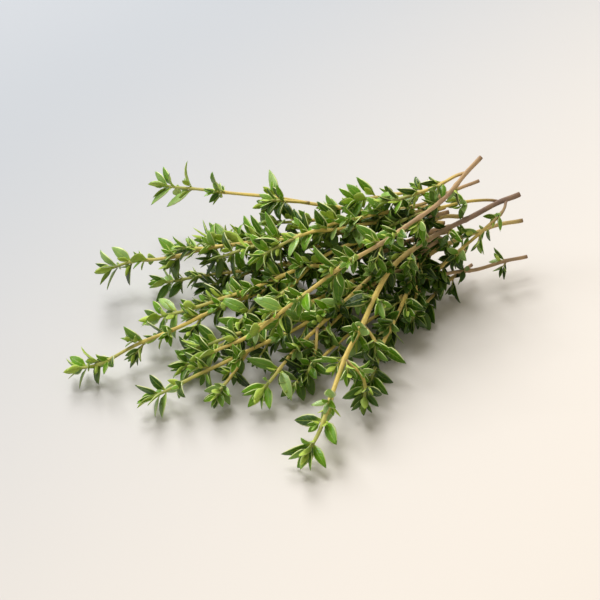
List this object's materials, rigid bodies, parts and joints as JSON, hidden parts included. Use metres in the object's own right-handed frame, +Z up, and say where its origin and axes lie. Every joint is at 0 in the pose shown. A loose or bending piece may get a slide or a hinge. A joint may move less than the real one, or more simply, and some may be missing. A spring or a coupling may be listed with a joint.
{
  "type": "thyme bundle",
  "caption": "Loose bundle of fresh cut thyme: slender woody sprigs with small paired green leaves, lying fanned out on a level surface with the cut ends together.",
  "frame": {"origin": "the middle of the bundle's box, at the height of the surface that it lies on", "axes": "+X along the bundle towards the cut ends, +Y across it, +Z up"},
  "size_m": [0.15, 0.122, 0.0427],
  "materials": {
    "leaf_green": null,
    "stem_bark": "woody stems, tan and brown at the cut ends, golden to pale green towards the growing tips"
  },
  "bodies": {
    "root": {"sprig_top": "leaf_green", "sprig_front": "leaf_green", "sprig_front_inner": "leaf_green", "sprig_right_low": "leaf_green", "sprig_upper_middle": "leaf_green", "sprig_front_left": "leaf_green", "sprig_left_low": "leaf_green", "sprig_leftmost": "leaf_green", "sprig_middle_left": "leaf_green", "sprig_left_raised": "leaf_green", "sprig_back_raised": "leaf_green", "sprig_back_short": "leaf_green", "sprig_back_middle": "leaf_green", "sprig_back_low": "leaf_green", "sprig_centre_low": "leaf_green", "sprig_crown": "leaf_green", "sprig_middle": "leaf_green", "sprig_middle_low": "leaf_green", "sprig_front_low": "leaf_green", "sprig_left_floor": "leaf_green", "sprig_back_floor": "leaf_green", "sprig_upper_left": "leaf_green", "sprig_right_floor": "leaf_green", "sprig_back_upper": "leaf_green"}
  },
  "joints": []
}
